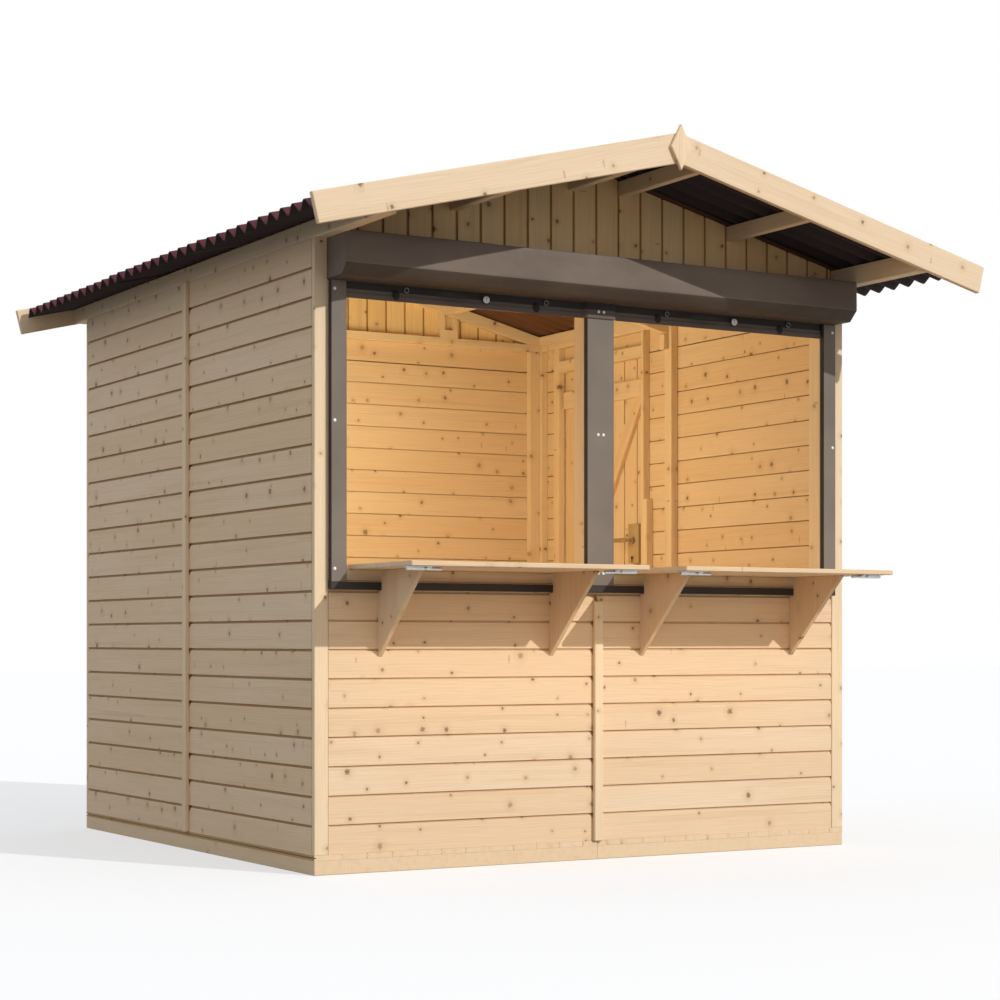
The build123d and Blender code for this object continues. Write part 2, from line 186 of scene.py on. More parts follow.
def addBump(material, shader, height, depth, strength=0.5):
    bump = addNode(material, "ShaderNodeBump", {"Height": height, "Distance": depth, "Strength": strength})
    material.node_tree.links.new(bump.outputs[0], shader.inputs["Normal"])


def paint(material, shader, colour):
    material.node_tree.links.new(colour, shader.inputs["Base Color"])


# groove is the tint of the painted shade laid into the boards' grooves and joints
wood = dict(pale=(0.88, 0.675, 0.465), warm=(0.84, 0.61, 0.385), late=(0.68, 0.44, 0.24),
            ring=0.0085, ringDepth=0.24, knotCells=9.5, knotShare=0.72, smallKnot=0.040, largeKnot=0.058,
            knotTall=0.95, darkKnot=(0.16, 0.088, 0.045), brownKnot=(0.42, 0.265, 0.145),
            halo=(0.62, 0.40, 0.215), crackCells=(7.0, 1.9), crackShare=0.34, crackWidth=0.030,
            groove=(0.58, 0.48, 0.32))


def makeWood(name, pale, warm):
    # grain runs along X of the "grain" coordinates that each board carries
    material, shader = newFinish(name, pale, 0.62, specular=0.25)
    grain = addNode(material, "ShaderNodeAttribute", attribute_name="grain").outputs["Vector"]
    shift = addNode(material, "ShaderNodeAttribute", attribute_name="shift").outputs["Vector"]
    tone = addNode(material, "ShaderNodeAttribute", attribute_name="tone").outputs["Fac"]
    place = addNode(material, "ShaderNodeVectorMath", {0: grain, 1: shift}, operation="ADD").outputs[0]

    split = addNode(material, "ShaderNodeSeparateXYZ", {0: place})
    slant = sums(material, "MULTIPLY_ADD", split.outputs[1], 0.6, split.outputs[2])
    slant = sums(material, "MULTIPLY", slant, wood["knotTall"])
    flat = addNode(material, "ShaderNodeCombineXYZ", {0: split.outputs[0], 1: slant}).outputs[0]
    cells = addNode(material, "ShaderNodeTexVoronoi", {"Vector": flat, "Scale": wood["knotCells"],
                                                       "Randomness": 0.95}, voronoi_dimensions="2D")
    kind = addNode(material, "ShaderNodeSeparateColor", {0: cells.outputs["Color"]})
    here = sums(material, "LESS_THAN", kind.outputs[0], wood["knotShare"])
    big = sums(material, "POWER", kind.outputs[1], 2.5)
    radius = sums(material, "MULTIPLY_ADD", big, wood["largeKnot"], wood["smallKnot"])
    ragged = stretchedNoise(material, place, (130, 210, 210))
    ratio = sums(material, "DIVIDE", cells.outputs["Distance"], radius)
    ratio = sums(material, "ADD", ratio, sums(material, "MULTIPLY_ADD", ragged, 1.7, -0.85))
    core = sums(material, "MULTIPLY", span(material, ratio, 1.25, 0.45), here)
    around = sums(material, "MULTIPLY", span(material, ratio, 4.0, 0.6), here)

    tall = addNode(material, "ShaderNodeMapping", {"Vector": flat, "Scale": (*wood["crackCells"], 1)})
    marks = addNode(material, "ShaderNodeTexVoronoi", {"Vector": tall.outputs[0], "Scale": 1.0},
                    voronoi_dimensions="2D")
    markKind = addNode(material, "ShaderNodeSeparateColor", {0: marks.outputs["Color"]})
    marked = sums(material, "LESS_THAN", markKind.outputs[1], wood["crackShare"])
    torn = sums(material, "MULTIPLY_ADD", ragged, 0.05, sums(material, "SUBTRACT", marks.outputs["Distance"], 0.025))
    cracks = sums(material, "MULTIPLY", span(material, torn, wood["crackWidth"], wood["crackWidth"] * 0.4), marked)

    across = addNode(material, "ShaderNodeVectorMath", {0: place, 1: (0, 1, 1)}, operation="MULTIPLY").outputs[0]
    reach = addNode(material, "ShaderNodeVectorMath", {0: across}, operation="LENGTH").outputs["Value"]
    sway = stretchedNoise(material, place, (1.4, 7, 7), 2.0)
    bent = sums(material, "MULTIPLY_ADD", sway, 0.055, reach)
    bent = sums(material, "MULTIPLY_ADD", around, 0.012, bent)
    ring = sums(material, "FRACT", sums(material, "DIVIDE", bent, wood["ring"]))
    ring = sums(material, "MULTIPLY", span(material, ring, 0.25, 0.85), span(material, ring, 1.0, 0.9))
    fibre = stretchedNoise(material, place, (7, 330, 330), 3.0, 0.6)
    streak = stretchedNoise(material, place, (1.1, 42, 42), 3.0, 0.6)
    cloud = stretchedNoise(material, place, (1.6, 5, 5), 1.0)

    colour = blend(material, tone, pale, warm)
    colour = blend(material, span(material, cloud, 0.35, 0.7, 0.0, 0.55), colour, warm)
    line = sums(material, "MULTIPLY", ring, span(material, streak, 0.3, 0.7, 0.25, 1.0))
    colour = blend(material, sums(material, "MULTIPLY", line, wood["ringDepth"]), colour, wood["late"])
    colour = blend(material, span(material, streak, 0.48, 0.78, 0.0, 0.30), colour, wood["late"])
    grey = span(material, fibre, 0.3, 0.7, 0.955, 1.03)
    colour = blend(material, 1.0, colour, addNode(material, "ShaderNodeCombineColor",
                                                  {0: grey, 1: grey, 2: grey}).outputs[0], "MULTIPLY")
    colour = blend(material, sums(material, "MULTIPLY", around, 0.34), colour, wood["halo"])
    knot = blend(material, span(material, kind.outputs[2], 0.35, 0.65), wood["darkKnot"], wood["brownKnot"])
    colour = blend(material, sums(material, "MULTIPLY", cracks, 0.5), colour, wood["brownKnot"])
    colour = blend(material, sums(material, "MULTIPLY", core, 0.8), colour, knot)
    # painted shade in the grooves: faces that the board marks as joint faces are darkened towards the groove tint
    grooveShade = addNode(material, "ShaderNodeAttribute", attribute_name="grooveShade").outputs["Fac"]
    colour = blend(material, grooveShade, colour, blend(material, 1.0, colour, wood["groove"], "MULTIPLY"))
    paint(material, shader, colour)
    height = sums(material, "MULTIPLY_ADD", ring, 0.25, sums(material, "MULTIPLY", fibre, 0.6))
    addBump(material, shader, sums(material, "MULTIPLY_ADD", core, -0.5, height), 0.0006, 0.45)
    return material


def objectPlace(material):
    return addNode(material, "ShaderNodeTexCoord").outputs["Object"]


def makeTarpaulin(name, colour, weave=(900, 900, 900), roughness=0.6):
    material, shader = newFinish(name, colour, roughness, specular=0.18)
    place = objectPlace(material)
    cloud = stretchedNoise(material, place, (3, 6, 6), 3.0)
    dust = stretchedNoise(material, place, (30, 30, 30), 4.0, 0.65)
    threads = stretchedNoise(material, place, weave, 1.0)
    worn = tuple(channel * 1.18 for channel in colour)
    deep = tuple(channel * 0.86 for channel in colour)
    shade = blend(material, span(material, cloud, 0.3, 0.7), deep, worn)
    shade = blend(material, span(material, dust, 0.55, 0.8, 0.0, 0.25), shade, worn)
    paint(material, shader, shade)
    rough = span(material, dust, 0.3, 0.7, roughness - 0.06, roughness + 0.1)
    material.node_tree.links.new(rough, shader.inputs["Roughness"])
    addBump(material, shader, threads, 0.0004, 0.35)
    return material


def makePaint(name, colour, roughness=0.5, grainScale=(60, 60, 4)):
    material, shader = newFinish(name, colour, roughness, specular=0.18)
    place = objectPlace(material)
    streak = stretchedNoise(material, place, tuple(8 * s for s in grainScale), 3.0, 0.6)
    cloud = stretchedNoise(material, place, (4, 4, 4), 2.0)
    pale = tuple(channel * 1.12 for channel in colour)
    deep = tuple(channel * 0.9 for channel in colour)
    paint(material, shader, blend(material, span(material, cloud, 0.3, 0.7), deep, pale))
    addBump(material, shader, streak, 0.0004, 0.3)
    return material


def makeRoofing(name, colour, chalk):
    material, shader = newFinish(name, colour, 0.85, specular=0.25)
    place = objectPlace(material)
    grit = stretchedNoise(material, place, (420, 420, 420), 2.0, 0.7)
    cloud = stretchedNoise(material, place, (2.2, 5, 2.2), 4.0, 0.6)
    streak = stretchedNoise(material, place, (1.5, 40, 1.5), 3.0, 0.6)
    shade = blend(material, span(material, grit, 0.5, 0.75, 0.0, 0.5), colour, chalk)
    shade = blend(material, span(material, cloud, 0.4, 0.8, 0.0, 0.4), shade, chalk)
    deep = tuple(channel * 0.72 for channel in colour)
    shade = blend(material, span(material, streak, 0.5, 0.8, 0.0, 0.5), shade, deep)
    paint(material, shader, shade)
    addBump(material, shader, grit, 0.0009, 0.5)
    return material


def makeMetal(name, colour, roughness, brushed=(40, 40, 40)):
    material, shader = newFinish(name, colour, roughness, metallic=1.0, specular=0.5)
    place = objectPlace(material)
    spangle = addNode(material, "ShaderNodeTexVoronoi", {"Vector": place, "Scale": 260.0})
    tint = addNode(material, "ShaderNodeSeparateColor", {0: spangle.outputs["Color"]}).outputs[0]
    smear = stretchedNoise(material, place, brushed, 3.0)
    deep = tuple(channel * 0.82 for channel in colour)
    paint(material, shader, blend(material, span(material, tint, 0.2, 0.8, 0.0, 0.6), colour, deep))
    material.node_tree.links.new(span(material, smear, 0.3, 0.7, roughness - 0.08, roughness + 0.1),
                                 shader.inputs["Roughness"])
    return material


def makePlastic(name, colour, roughness=0.35):
    material, shader = newFinish(name, colour, roughness, specular=0.45)
    place = objectPlace(material)
    speck = stretchedNoise(material, place, (300, 300, 300), 2.0)
    deep = tuple(channel * 0.9 for channel in colour)
    paint(material, shader, blend(material, span(material, speck, 0.4, 0.8), colour, deep))
    addBump(material, shader, speck, 0.0002, 0.15)
    return material


def startPiece():
    piece = bmesh.new()
    piece.verts.layers.float_vector.new("grain")
    piece.faces.layers.float_vector.new("shift")
    piece.faces.layers.float.new("tone")
    piece.faces.layers.float.new("grooveShade")
    return piece


def everything(part):
    return part.verts[:] + part.edges[:] + part.faces[:]


def clipPart(part, point, outward):
    cut = bmesh.ops.bisect_plane(part, geom=everything(part), plane_co=point, plane_no=outward,
                                 clear_outer=True)
    rim = [item for item in cut["geom_cut"] if isinstance(item, bmesh.types.BMEdge)]
    if rim:
        bmesh.ops.holes_fill(part, edges=rim, sides=0)


def stand(along, across, origin):
    # turns a part's X to along and its Z to across, then moves it to origin
    turn = Matrix((along, across.cross(along), across)).transposed().to_4x4()
    return Matrix.Translation(origin) @ turn


def aim(way, origin):
    # turns a part's Z to way
    return Matrix.Translation(origin) @ Vector(way).to_track_quat("Z", "Y").to_matrix().to_4x4()


def addPart(piece, part, place=None, clips=(), staves=0.0):
    place = place or Matrix()
    back = place.inverted()
    for point, outward in clips:
        clipPart(part, back @ Vector(point), back.to_3x3() @ Vector(outward))
    grain = part.verts.layers.float_vector.get("grain") or part.verts.layers.float_vector.new("grain")
    shift = part.faces.layers.float_vector.get("shift") or part.faces.layers.float_vector.new("shift")
    tone = part.faces.layers.float.get("tone") or part.faces.layers.float.new("tone")
    if not part.faces.layers.float.get("grooveShade"):
        part.faces.layers.float.new("grooveShade")
    for vert in part.verts:
        vert[grain] = vert.co
    glued = {}
    for face in part.faces:
        stave = math.floor(face.calc_center_median().z / staves) if staves else 0
        if stave not in glued:
            glued[stave] = (Vector((draw.uniform(0, 40), draw.uniform(-0.02, 0.02),
                                    draw.choice((-1, 1)) * draw.uniform(0.02, 0.13))), draw.random())
        face[shift], face[tone] = glued[stave]
    part.transform(place)
    mesh = bpy.data.meshes.new("part")
    part.to_mesh(mesh)
    part.free()
    piece.from_mesh(mesh)
    bpy.data.meshes.remove(mesh)


def softenEdges(part, edges, width, segments=1):
    part.normal_update()
    bmesh.ops.bevel(part, geom=edges, offset=width, offset_type="OFFSET", segments=segments, profile=0.5,
                    affect="EDGES", material=-1, clamp_overlap=True)


def makeBlock(size, soften=0.0012, segments=1):
    part = bmesh.new()
    bmesh.ops.create_cube(part, size=1)
    bmesh.ops.scale(part, vec=size, verts=part.verts)
    softenEdges(part, part.edges[:], soften, segments)
    return part


def makeRod(radius, length, soften=0.001, segments=24, topRadius=None):
    part = bmesh.new()
    bmesh.ops.create_cone(part, cap_ends=True, segments=segments, radius1=radius,
                          radius2=radius if topRadius is None else topRadius, depth=length)
    rims = [edge for edge in part.edges if any(len(face.verts) > 4 for face in edge.link_faces)]
    softenEdges(part, rims, soften, 2)
    return part


def makeDome(radius, height, segments=14):
    # half a ball pressed flat, closed underneath, its foot at z = 0
    part = bmesh.new()
    bmesh.ops.create_uvsphere(part, u_segments=segments, v_segments=segments // 2 * 2, radius=radius)
    clipPart(part, (0, 0, 0), (0, 0, -1))
    bmesh.ops.scale(part, vec=(1, 1, height / radius), verts=part.verts)
    return part


def pullFaces(part, way, low, high, move):
    # pulls out the faces on a board's edge that lie between two depths
    if move < 1e-6:
        return
    faces = [face for face in part.faces if face.normal.z * way > 0.9
             and low < face.calc_center_median().y < high]
    pulled = bmesh.ops.extrude_face_region(part, geom=faces)
    bmesh.ops.translate(part, vec=(0, 0, way * move), verts=[item for item in pulled["geom"]
                                                       if isinstance(item, bmesh.types.BMVert)])
    bmesh.ops.delete(part, geom=[face for face in faces if face.is_valid], context="FACES")
    part.normal_update()


# the last argument sets how strongly painted groove shade darkens the joint faces
def makePlank(length, height, thickness, gap, tongue, soften, chamfer, rise=0.0, crack=None, dark=1.0):
    # a tongued and grooved board, its length along X, its tongue up Z; on its far side the joint is
    # rise higher and crack wide
    part = bmesh.new()
    crack = gap if crack is None else crack
    body = height - gap
    groove = tongue + 0.001
    bmesh.ops.create_cube(part, size=1)
    bmesh.ops.scale(part, vec=(length, thickness, body - groove), verts=part.verts)
    bmesh.ops.translate(part, vec=(0, 0, groove / 2), verts=part.verts)
    third = thickness * boards["tongueShare"]
    for y in (-third, third):
        bmesh.ops.bisect_plane(part, geom=everything(part), plane_co=(0, y, 0), plane_no=(0, 1, 0))
    part.normal_update()
    pullFaces(part, 1, -third, thickness, gap + rise - crack)
    pullFaces(part, 1, -third, third, tongue + crack - rise)
    pullFaces(part, -1, -thickness, -third, groove)
    pullFaces(part, -1, third, thickness, groove - rise)
    edges = {(side, end): [] for side in (-1, 1) for end in (-1, 1)}
    for edge in part.edges:
        first, second = edge.verts
        outer = all(abs(abs(vert.co.y) - thickness / 2) < 1e-5 for vert in edge.verts)
        if outer and abs(first.co.x - second.co.x) > length / 2 and edge.calc_face_angle() > 0.5:
            edges[1 if first.co.y > 0 else -1, 1 if first.co.z > 0 else -1].append(edge)
    softenEdges(part, edges[-1, -1], soften)
    softenEdges(part, edges[-1, 1], chamfer, 2)
    softenEdges(part, edges[1, -1], min(soften, crack / 4))
    softenEdges(part, edges[1, 1], min(chamfer, crack / 4))
    bmesh.ops.dissolve_limit(part, angle_limit=math.radians(0.5), verts=part.verts, edges=part.edges)
    part.normal_update()
    # painted shade: faces inside the joint get a darkening weight, those on the far side a little less
    grooveShade = part.faces.layers.float.new("grooveShade")
    for face in part.faces:
        depth = face.calc_center_median().y
        inside = abs(depth) < thickness / 2 - chamfer - 1e-4 and abs(face.normal.x) < 0.9
        face[grooveShade] = (0.8 if rise and depth > third else dark) if inside else 0.0
    bmesh.ops.translate(part, vec=(0, 0, -gap / 2), verts=part.verts)
    return part


def finishPiece(piece, name, finishes, body="hut", stands=(), smooth=35.0):
    bmesh.ops.recalc_face_normals(piece, faces=piece.faces)
    mesh = bpy.data.meshes.new(name)
    piece.to_mesh(mesh)
    piece.free()
    for finish in finishes:
        mesh.materials.append(finish)
    mesh.shade_smooth()
    mesh.set_sharp_from_angle(angle=math.radians(smooth))
    thing = bpy.data.objects.new(name, mesh)
    scene.collection.objects.link(thing)
    if stands:
        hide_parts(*stands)
    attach(thing, body)
    return thing


def islandsOf(part):
    left = set(part.faces)
    while left:
        seed = min(left, key=lambda face: face.index)
        group, front = {seed}, [seed]
        while front:
            for edge in front.pop().edges:
                for face in edge.link_faces:
                    if face not in group:
                        group.add(face)
                        front.append(face)
        left -= group
        yield sorted(group, key=lambda face: face.index)


def copySolids(node):
    # each solid of a CAD node as its own clean copy, with its box
    whole = bmesh.new()
    whole.from_mesh(frame["nodes"][node].data)
    bmesh.ops.remove_doubles(whole, verts=whole.verts, dist=1e-5)
    bmesh.ops.dissolve_limit(whole, angle_limit=math.radians(1), verts=whole.verts, edges=whole.edges)
    whole.faces.index_update()
    solids = []
    for group in list(islandsOf(whole)):
        keep = set(group)
        single = whole.copy()
        single.faces.ensure_lookup_table()
        drop = [single.faces[face.index] for face in whole.faces if face not in keep]
        bmesh.ops.delete(single, geom=drop, context="FACES")
        corners = [vert.co for vert in single.verts]
        low = Vector([min(co[axis] for co in corners) for axis in range(3)])
        high = Vector([max(co[axis] for co in corners) for axis in range(3)])
        solids.append((single, low, high))
    whole.free()
    return sorted(solids, key=lambda solid: tuple(round(value, 4) for value in solid[1]))


def grainFrame(part):
    # the longest edge gives the grain, and the wider of the other ways lies across
    longest = max(part.edges, key=lambda edge: round(edge.calc_length(), 5))
    along = (longest.verts[1].co - longest.verts[0].co).normalized()
    side = along.cross(alongZ if abs(along.z) < 0.7 else alongY).normalized()
    other = along.cross(side).normalized()

    def width(way):
        reach = [vert.co.dot(way) for vert in part.verts]
        return max(reach) - min(reach)
    across = side if width(side) > width(other) else other
    middle = sum((vert.co for vert in part.verts), Vector()) / len(part.verts)
    return stand(along, across, middle)


def dressTimber(node, name, finish, body="hut", soften=0.0018, staves=0.0, turned=None,
                sideShadeFinish=None):
    # the CAD node's own solids with their edges eased and the grain along each
    piece = startPiece()
    for part, low, high in copySolids(node):
        place = grainFrame(part)
        if turned:
            place = stand(turned[0], turned[1], (low + high) / 2)
        part.transform(place.inverted())
        part.normal_update()
        sharp = [edge for edge in part.edges
                 if edge.is_manifold and edge.calc_face_angle() > 0.3 and edge.calc_length() > 0.004]
        softenEdges(part, sharp, soften)
        if staves:
            reach = [vert.co.z for vert in part.verts]
            cuts = range(math.ceil(min(reach) / staves), math.floor(max(reach) / staves) + 1)
            for cut in cuts:
                bmesh.ops.bisect_plane(part, geom=everything(part), plane_co=(0, 0, cut * staves),
                                       plane_no=(0, 0, 1))
        addPart(piece, part, place, staves=staves)
    # painted shade: faces turned sideways take the second, darker finish
    if sideShadeFinish:
        for face in piece.faces:
            face.normal_update()
            face.material_index = 1 if abs(face.normal.x) > 0.6 else 0
    finishes = [finish, sideShadeFinish] if sideShadeFinish else [finish]
    return finishPiece(piece, name, finishes, body, [node], boards["flat"])


# the walls along X take a weaker painted groove shade than the side walls, which stand in shade
boards = dict(course=0.088, raised=0.0012, frontGap=0.006, sideGap=0.0075, frontGrooveShade=0.4, tongue=0.005,
              tongueShare=0.09, soften=0.001, chamfer=0.0015, rise=0.0078, crack=0.0034, longTongue=0.012,
              endGap=0.0016, upright=0.08565, uprightGap=0.0075, uprightSoften=0.0018, floorGap=0.0011,
              doorCount=7, doorGap=0.0048, flat=20.0)
notch = dict(low=0.014, joint=0.016, corner=0.008, side=0.014, depth=0.008)
roof = dict(pitch=math.radians(13.85))


def stripHalf():
    # half the width of the strip that covers a panel joint
    front = min(copySolids("joint_cover_strips"), key=lambda solid: solid[1].y)
    return (front[2] - front[1]).x / 2


def notchClip(cut, along, outward, face, top):
    # takes the near top corner off a board where it meets the strip at its end
    edge, wide = cut
    point = along * (edge - wide) + outward * face + alongZ * top
    slope = alongZ * wide + along * notch["low"] + outward * wide * notch["low"] / notch["depth"]
    return [(point, slope.normalized())]


def wallBoards(piece, node, along, cut=None):
    low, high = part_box(node)
    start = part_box("floor_boards")[1].z + boards["raised"]
    axis = 0 if along is alongX else 1
    length = high[axis] - low[axis]
    thickness = (high - low)[1 - axis]
    middle = (low + high) / 2
    facing = along * (1 if node.startswith(("front", "right")) else -1)
    outward = facing.cross(alongZ)
    gap = boards["frontGap" if along is alongX else "sideGap"]
    # painted groove shade: weaker on the walls along X, full on the side walls
    dark = boards["frontGrooveShade"] if along is alongX else 1.0
    first = course = math.floor((low.z - start) / boards["course"] + 0.05)
    while start + course * boards["course"] < high.z - 0.004:
        bottom = low.z if course == first else start + course * boards["course"]
        top = min(high.z, start + (course + 1) * boards["course"])
        full = top - bottom > boards["course"] * 0.9 and top < high.z - 1e-4
        if full:
            plank = makePlank(length - 2 * boards["endGap"], top - bottom, thickness, gap, boards["longTongue"],
                              boards["soften"], boards["chamfer"], boards["rise"], boards["crack"], dark)
        else:
            plank = makePlank(length - 2 * boards["endGap"], top - bottom, thickness, 0.0004, 0.0002,
                              boards["soften"], boards["chamfer"])
        clips = notchClip(cut, along, outward, middle.dot(outward) + thickness / 2, top - gap) if cut and full else ()
        addPart(piece, plank, stand(facing, alongZ, Vector((middle.x, middle.y, (bottom + top) / 2))), clips)
        course += 1


def makeWalls(finish):
    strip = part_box("front_wall_left_panel")[1].x - stripHalf()
    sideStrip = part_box("left_wall_front_panel")[1].y - stripHalf()
    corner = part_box("front_wall_right_panel")[1].x
    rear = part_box("left_wall_rear_panel")[1].y - boards["endGap"]
    cuts = {"front_wall_left_panel": (strip, notch["joint"]), "front_wall_right_panel": (corner, notch["corner"]),
            "left_wall_front_panel": (sideStrip, notch["side"]), "left_wall_rear_panel": (rear, notch["side"]),
            "right_wall_front_panel": (sideStrip, notch["side"]),
            "back_wall_left_panel": (strip, notch["joint"]), "back_wall_right_panel": (corner, notch["corner"])}
    walls = (("left_wall_boards", alongY, ("left_wall_front_panel", "left_wall_rear_panel")),
             ("right_wall_boards", alongY, ("right_wall_front_panel", "right_wall_beside_door",
                                            "right_wall_over_door", "right_wall_rear_strip")),
             ("front_wall_boards", alongX, ("front_wall_left_panel", "front_wall_right_panel")),
             ("back_wall_boards", alongX, ("back_wall_left_panel", "back_wall_right_panel")))
    for name, along, nodes in walls:
        piece = startPiece()
        for node in nodes:
            wallBoards(piece, node, along, cuts.get(node))
        finishPiece(piece, name, [finish], "hut", nodes, boards["flat"])
    print("walls boarded")


def makeGables(finish):
    for end in ("front", "back"):
        node = f"{end}_gable"
        low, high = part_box(node)
        piece = startPiece()
        pitch = roof["pitch"]
        slopes = [((0, 0, high.z), (side * math.sin(pitch), 0, math.cos(pitch))) for side in (-1, 1)]
        count = math.ceil(high.x / boards["upright"])
        for index in range(-count, count):
            left = max(low.x, index * boards["upright"])
            right = min(high.x, (index + 1) * boards["upright"])
            tall = high.z - min(abs(left), abs(right)) * math.tan(pitch) - low.z
            plank = makePlank(tall + 0.01, right - left, high.y - low.y, boards["uprightGap"],
                              boards["tongue"], boards["uprightSoften"], boards["uprightSoften"])
            middle = Vector(((left + right) / 2, (low.y + high.y) / 2, low.z + (tall + 0.01) / 2))
            addPart(piece, plank, stand(alongZ, alongX, middle), clips=slopes)
        finishPiece(piece, f"{end}_gable_boards", [finish], "hut", [node], boards["flat"])
    print("gables boarded")


def makeFloorBoards(finish):
    low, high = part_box("floor_boards")
    wide = boards["upright"]
    piece = startPiece()
    for start, end, first in ((low.x, 0.0, low.x + 0.0922), (0.0, high.x, 0.0907)):
        joints = [start, first]
        while joints[-1] + wide < end - 0.01:
            joints.append(joints[-1] + wide)
        joints.append(end)
        for left, right in zip(joints, joints[1:]):
            last = right == end
            plank = makePlank(high.y - low.y, right - left, high.z - low.z,
                              0.0008 if last else boards["floorGap"], 0.0001 if last else boards["tongue"],
                              0.0008, 0.0008)
            middle = Vector(((left + right) / 2, (low.y + high.y) / 2, (low.z + high.z) / 2))
            addPart(piece, plank, stand(alongY, alongX, middle))
    finishPiece(piece, "floor_planks", [finish], "hut", ["floor_boards"], boards["flat"])


def makeTimbers(finish, floorFinish, bargeFinish):
    makeFloorBoards(floorFinish)
    for node in ("floor_frame_left", "floor_frame_right"):
        dressTimber(node, f"{node}_timber", floorFinish)
    for node in ("back_wall_studs", "corner_trims", "door_head", "door_jambs", "eave_beams",
                 "front_header", "front_low_wall_studs", "front_posts", "front_sill_rail",
                 "gable_battens", "joint_cover_strips", "left_wall_studs", "right_wall_studs", "roof_purlins"):
        dressTimber(node, f"{node}_timber", finish)
    for end in ("front", "rear"):
        for side in ("left", "right"):
            dressTimber(f"{end}_bargeboard_{side}", f"{end}_bargeboard_{side}_timber", bargeFinish)
    for node in ("ridge_plates", "purlin_chairs"):
        dressTimber(node, f"{node}_timber", finish, turned=(alongZ, alongX))
    print("timbers dressed")


def makeCounters(finish):
    for side in ("left", "right"):
        dressTimber(f"{side}_counter", f"{side}_counter_board", finish, staves=0.092, soften=0.002)
    dressTimber("counter_brackets", "counter_bracket_boards", finish, staves=0.093,
                turned=(alongZ, alongY), soften=0.0015)
    print("counters made")


sheets = dict(waves=33, height=0.028, short=0.006, thickness=0.003, ridgeGap=0.012, lap=0.0033,
              runs=((0, 12), (11, 22), (21, 33)), stepsPerWave=12, rows=6, nailRadius=0.011,
              nailRows=(0.10, 0.48, 0.86))


def roofTurn(side, peak):
    pitch = roof["pitch"]
    turn = Matrix.Rotation(pitch, 4, "Y")
    mirror = Matrix.Diagonal((side, 1, 1, 1))
    return mirror @ Matrix.Translation((0, 0, peak)) @ turn


def makeRoofSheets(top, shadedUnderside, inside, capTop):
    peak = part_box("front_gable")[1].z
    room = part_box("floor_boards")
    for side, word in ((-1, "left"), (1, "right")):
        low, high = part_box(f"roof_sheet_{word}")
        pitch = (high.y - low.y) / sheets["waves"]
        run = (max(abs(low.x), abs(high.x)) / math.cos(roof["pitch"])) - sheets["ridgeGap"] - sheets["short"]
        for number, (start, end) in enumerate(sheets["runs"]):
            lift = sheets["lap"] * (number % 2)
            piece = bmesh.new()
            count = (end - start) * sheets["stepsPerWave"]
            bmesh.ops.create_grid(piece, x_segments=sheets["rows"], y_segments=count, size=1)
            for vert in piece.verts:
                along = (vert.co.x + 1) / 2
                wave = start + (vert.co.y + 1) / 2 * (end - start)
                rise = sheets["height"] / 2 * (1 - math.cos(2 * math.pi * wave)) + lift
                vert.co = (sheets["ridgeGap"] + along * run, low.y + wave * pitch, rise)
            piece.transform(roofTurn(side, peak))
            if side < 0:
                bmesh.ops.reverse_faces(piece, faces=piece.faces)
            for face in piece.faces:
                spot = face.calc_center_median()
                # painted light and shade: over the room the underside takes a lighter copy, under the eaves outside a
                # near-black one
                face.material_index = 2 if abs(spot.x) < room[1].x and room[0].y < spot.y < room[1].y else 0
            name = f"roof_sheet_{word}_{number + 1}"
            mesh = bpy.data.meshes.new(name)
            piece.to_mesh(mesh)
            piece.free()
            for finish in (top, shadedUnderside, top, inside):
                mesh.materials.append(finish)
            mesh.shade_smooth()
            sheet = bpy.data.objects.new(name, mesh)
            scene.collection.objects.link(sheet)
            solid = sheet.modifiers.new("thickness", "SOLIDIFY")
            solid.thickness = sheets["thickness"]
            solid.offset = 1
            solid.material_offset = 1
            solid.material_offset_rim = 1
            if number == 0:
                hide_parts(f"roof_sheet_{word}")
            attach(sheet, "hut")
        nails = startPiece()
        for row in sheets["nailRows"]:
            for crest in range(1, sheets["waves"], 2):
                spot = (sheets["ridgeGap"] + row * run, low.y + (crest + 0.5) * pitch,
                        sheets["height"] + sheets["thickness"])
                addPart(nails, makeDome(sheets["nailRadius"], 0.006, 12),
                        roofTurn(side, peak) @ Matrix.Translation(spot))
        finishPiece(nails, f"roof_nails_{word}", [capTop])
    print("roof covered")


rafter = dict(low=1.871, height=0.052, thickness=0.031, y=0.1675, blockTall=0.057, blockDeep=0.020)


def makeMiddleRafters(finish):
    # a pair of rafters over the middle studs, each on a short block
    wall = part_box("right_wall_studs")[0].x
    piece = startPiece()
    for side in (-1, 1):
        run = wall / math.cos(roof["pitch"])
        bar = makeBlock((run, rafter["thickness"], rafter["height"]), 0.0015)
        way = Vector((-side * math.cos(roof["pitch"]), 0, math.sin(roof["pitch"])))
        across = Vector((side * math.sin(roof["pitch"]), 0, math.cos(roof["pitch"])))
        start = Vector((side * wall, rafter["y"], rafter["low"]))
        middle = start + way * run / 2 + across * rafter["height"] / 2
        addPart(piece, bar, stand(way, across, middle), clips=[((0, 0, 0), (-side, 0, 0))])
        block = makeBlock((rafter["blockTall"], rafter["thickness"], rafter["blockDeep"]), 0.0015)
        spot = Vector((side * (wall - rafter["blockDeep"] / 2), rafter["y"], rafter["low"] - rafter["blockTall"] / 2))
        addPart(piece, block, stand(alongZ, alongX, spot))
    finishPiece(piece, "middle_rafters", [finish], smooth=boards["flat"])


def makeRidgeCap(finish):
    piece = startPiece()
    for part, low, high in copySolids("ridge_cap"):
        sharp = [edge for edge in part.edges if edge.calc_length() > 1 and edge.calc_face_angle() > 0.3]
        softenEdges(part, sharp, 0.0018, 2)
        addPart(piece, part)
    finishPiece(piece, "ridge_capping", [finish], "hut", ["ridge_cap"])


